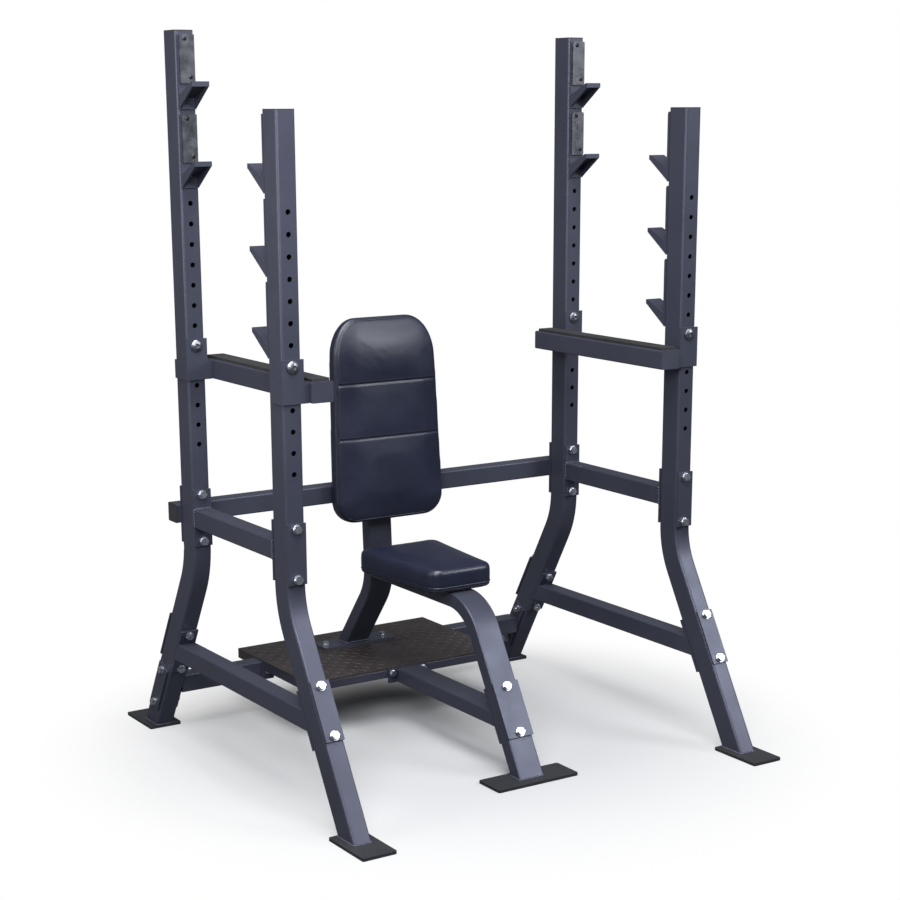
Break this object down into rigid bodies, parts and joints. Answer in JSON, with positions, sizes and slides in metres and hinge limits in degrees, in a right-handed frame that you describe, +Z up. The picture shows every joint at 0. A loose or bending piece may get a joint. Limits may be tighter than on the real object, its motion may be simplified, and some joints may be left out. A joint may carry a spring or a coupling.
{
  "type": "olympic seated press bench",
  "caption": "Four-post olympic press rack on splayed legs with bar cups, sliding safety arms, spotter platform and a fixed upright padded seat.",
  "frame": {"origin": "on the floor, at the middle of the rack's outline", "axes": "+X to the rack's left-hand side as seen by the seated user, -Y to the front where the user faces, +Z up"},
  "size_m": [1.288, 1.33, 1.869],
  "materials": {
    "frame_paint": "dark gunmetal powder coat, satin, fine texture",
    "foot_paint": "near-black satin powder coat",
    "tread_paint": "black-brown painted diamond plate",
    "cap_plastic": "moulded matt black",
    "bright_zinc": "bright zinc plate",
    "grey_bolt": "dull grey plate",
    "dark_screw": "black oxide",
    "wear_zinc": "dull grey plate with a faint yellow cast",
    "vinyl": "black upholstery vinyl, soft sheen",
    "board": "raw plywood",
    "strip_rubber": "matt black rubber"
  },
  "bodies": {
    "rack": {"upright_front_left": "frame_paint", "upright_front_right": "frame_paint", "upright_rear_left": "frame_paint", "upright_rear_right": "frame_paint", "tube_caps": "cap_plastic", "foot_front_left": "foot_paint", "foot_front_right": "foot_paint", "foot_rear_left": "foot_paint", "foot_rear_right": "foot_paint", "upper_rail_left": "frame_paint", "upper_rail_right": "frame_paint", "lower_rail_left": "frame_paint", "lower_rail_right": "frame_paint", "rail_backing_plates": "frame_paint", "rear_crossbar": "frame_paint", "lower_crossbar": "frame_paint", "crossbar_backing_plates": "frame_paint", "platform_frame": "frame_paint", "tread_plate": "tread_paint", "centre_rail": "frame_paint", "seat_front_leg": "frame_paint", "seat_post": "frame_paint", "bench_foot_plate": "foot_paint", "bench_backing_plate": "frame_paint", "pad_mount_plates": "foot_paint", "seat_board": "board", "seat_cushion": "vinyl", "back_board": "board", "back_cushion": "vinyl", "cup_rear_left_low": "frame_paint", "cup_rear_left_high": "frame_paint", "cup_rear_right_low": "frame_paint", "cup_rear_right_high": "frame_paint", "cup_front_left_low": "frame_paint", "cup_front_left_mid": "frame_paint", "cup_front_left_high": "frame_paint", "cup_front_right_low": "frame_paint", "cup_front_right_mid": "frame_paint", "cup_front_right_high": "frame_paint", "wear_plates": "wear_zinc", "cup_screw_set": "dark_screw", "rail_bolts": "bright_zinc", "rail_nuts": "bright_zinc", "crossbar_fasteners": "bright_zinc", "platform_bolts": "bright_zinc", "bench_fasteners": "bright_zinc", "pad_bolts": "bright_zinc"},
    "left_safety": {"safety_arm_left": "frame_paint", "safety_strip_left": "strip_rubber", "collar_front_left": "frame_paint", "collar_rear_left": "frame_paint", "arm_caps_left": "frame_paint", "arm_bolts_left": "grey_bolt"},
    "right_safety": {"safety_arm_right": "frame_paint", "safety_strip_right": "strip_rubber", "collar_front_right": "frame_paint", "collar_rear_right": "frame_paint", "arm_caps_right": "frame_paint", "arm_bolts_right": "grey_bolt"}
  },
  "joints": [
    {"name": "left_safety_height", "type": "slide", "parent": "rack", "child": "left_safety", "axis": [0, 0, 1], "range_m": [-0.254, 0.3556]},
    {"name": "right_safety_height", "type": "slide", "parent": "rack", "child": "right_safety", "axis": [0, 0, 1], "range_m": [-0.254, 0.3556]}
  ]
}
